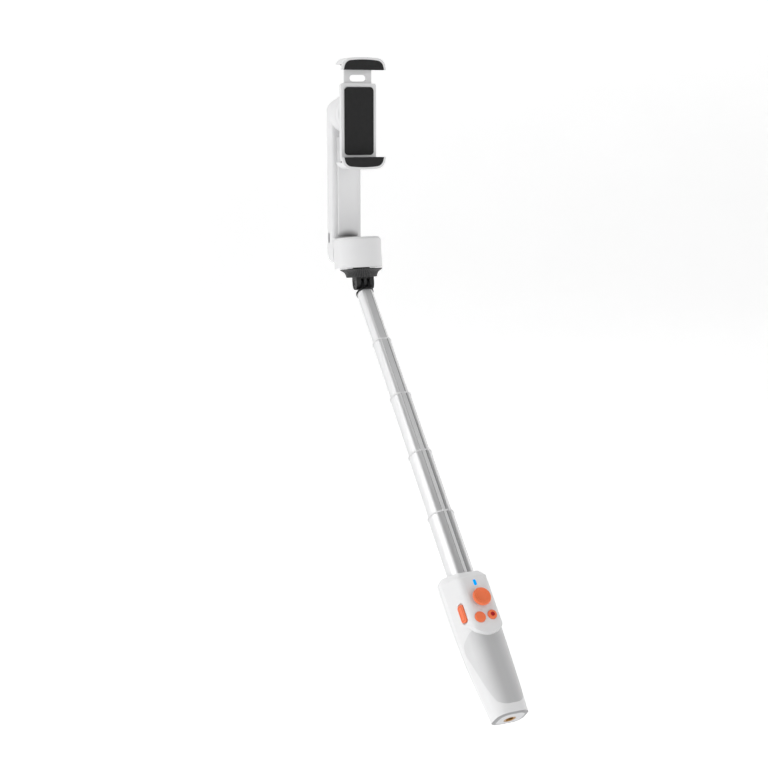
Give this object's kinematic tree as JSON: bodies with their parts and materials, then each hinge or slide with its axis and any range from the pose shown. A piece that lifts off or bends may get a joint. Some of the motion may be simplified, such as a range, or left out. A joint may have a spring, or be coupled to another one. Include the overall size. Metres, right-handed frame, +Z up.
{
  "type": "phone gimbal stabilizer",
  "caption": "Handheld phone gimbal on a telescopic rod, with a tilting head, a pan motor, a roll motor and a sprung phone clamp.",
  "frame": {"origin": "centre of the tripod thread's mouth in the base of the handle", "axes": "+Z up with the rod fully out and leaning 45 degrees from the vertical, -Y towards the side the phone's screen faces, +X to the right seen from that side"},
  "size_m": [0.038, 0.3215, 0.4528],
  "materials": {
    "white_shell": "satin",
    "grip_rubber": "soft matte",
    "base_grey": "matte",
    "dark_plastic": "satin",
    "cap_plastic": "satin",
    "pad_rubber": "matte",
    "orange_plastic": "satin",
    "dot_plastic": "satin",
    "led_plastic": "gloss",
    "tube_aluminium": "satin anodised",
    "screw_steel": "satin",
    "shaft_steel": "ground",
    "insert_brass": "turned",
    "coil_copper": "enamelled",
    "board_green": "satin",
    "cell_wrap": "gloss",
    "port_steel": "satin"
  },
  "bodies": {
    "handle": {"handle_front_shell": "white_shell", "handle_rear_shell": "white_shell", "grip_pad": "grip_rubber", "bottom_cap": "cap_plastic", "base_plate": "base_grey", "thread_insert": "insert_brass", "battery_cell": "cell_wrap", "main_board": "board_green", "button_switches": "dark_plastic", "led_window": "led_plastic", "joystick_base": "dark_plastic", "rod_outer_tube": "tube_aluminium"},
    "joystick_gimbal": {"joystick_ring": "dark_plastic"},
    "joystick": {"joystick_cap": "orange_plastic"},
    "mode_key": {"mode_button": "orange_plastic"},
    "record_key": {"record_button": "orange_plastic", "record_dot": "dot_plastic"},
    "zoom_key": {"zoom_slider": "orange_plastic"},
    "stage_5": {"tube_5": "tube_aluminium", "bush_5": "dark_plastic", "collar_5": "white_shell"},
    "stage_4": {"tube_4": "tube_aluminium", "bush_4": "dark_plastic", "collar_4": "white_shell"},
    "stage_3": {"tube_3": "tube_aluminium", "bush_3": "dark_plastic", "collar_3": "white_shell"},
    "stage_2": {"tube_2": "tube_aluminium", "bush_2": "dark_plastic", "collar_2": "white_shell"},
    "stage_1": {"tube_1": "tube_aluminium", "bush_1": "dark_plastic", "hinge_knuckle": "dark_plastic"},
    "head_base": {"pan_fork": "dark_plastic", "hinge_screw": "screw_steel", "hinge_nut": "screw_steel", "knurled_ring": "dark_plastic", "pan_bearings": "shaft_steel", "pan_stator": "coil_copper"},
    "arm": {"pan_housing": "white_shell", "pan_rotor": "shaft_steel", "pan_magnets": "shaft_steel", "arm_shell": "white_shell", "arm_front_panel": "white_shell", "arm_board": "board_green", "usb_c_port": "port_steel", "roll_stator_case": "white_shell", "roll_bearings": "shaft_steel", "roll_stator": "coil_copper"},
    "clamp": {"roll_rotor": "white_shell", "clamp_frame": "white_shell", "lower_jaw": "white_shell", "lower_jaw_pad": "pad_rubber", "back_pad": "pad_rubber", "clamp_spring": "screw_steel"},
    "upper_grip": {"upper_jaw": "white_shell", "upper_jaw_pad": "pad_rubber"}
  },
  "joints": [
    {"name": "rod_stage_5", "type": "slide", "parent": "handle", "child": "stage_5", "axis": [0, 0.7071, 0.7071], "range_m": [-0.0496, 0]},
    {"name": "rod_stage_4", "type": "slide", "parent": "stage_5", "child": "stage_4", "axis": [0, 0.7071, 0.7071], "range_m": [-0.0512, 0]},
    {"name": "rod_stage_3", "type": "slide", "parent": "stage_4", "child": "stage_3", "axis": [0, 0.7071, 0.7071], "range_m": [-0.0512, 0]},
    {"name": "rod_stage_2", "type": "slide", "parent": "stage_3", "child": "stage_2", "axis": [0, 0.7071, 0.7071], "range_m": [-0.0512, 0]},
    {"name": "rod_stage_1", "type": "slide", "parent": "stage_2", "child": "stage_1", "axis": [0, 0.7071, 0.7071], "range_m": [-0.0493, 0]},
    {"name": "head_tilt", "type": "hinge", "parent": "stage_1", "child": "head_base", "pos_m": [0, 0.26255, 0.26651], "axis": [1, 0, 0], "range_deg": [-87.5, 50.5]},
    {"name": "pan_turn", "type": "hinge", "parent": "head_base", "child": "arm", "pos_m": [0, 0.26532, 0.26614], "axis": [0, 0.1305, 0.9914], "range_deg": [-135, 135]},
    {"name": "roll_turn", "type": "hinge", "parent": "arm", "child": "clamp", "pos_m": [0, 0.26255, 0.40251], "axis": [0, 1, 0], "range_deg": [-120, 120]},
    {"name": "jaw_slide", "type": "slide", "parent": "clamp", "child": "upper_grip", "axis": [0, 0, 1], "range_m": [-0.012, 0.0125]},
    {"name": "joystick_up_down", "type": "hinge", "parent": "handle", "child": "joystick_gimbal", "pos_m": [0, 0.04865, 0.0676], "axis": [1, 0, 0], "range_deg": [-10, 10], "stiffness_Nm_per_rad": 0.02},
    {"name": "joystick_left_right", "type": "hinge", "parent": "joystick_gimbal", "child": "joystick", "pos_m": [0, 0.04865, 0.0676], "axis": [0, 0.7071, 0.7071], "range_deg": [-10, 10], "stiffness_Nm_per_rad": 0.02},
    {"name": "mode_press", "type": "slide", "parent": "handle", "child": "mode_key", "axis": [0, 0.7071, -0.7071], "range_m": [0, 0.0006], "stiffness_N_per_m": 800},
    {"name": "record_press", "type": "slide", "parent": "handle", "child": "record_key", "axis": [0, 0.7071, -0.7071], "range_m": [0, 0.0006], "stiffness_N_per_m": 800},
    {"name": "zoom_push", "type": "slide", "parent": "handle", "child": "zoom_key", "axis": [0, 0.7071, 0.7071], "range_m": [-0.0008, 0.0008], "stiffness_N_per_m": 600}
  ]
}
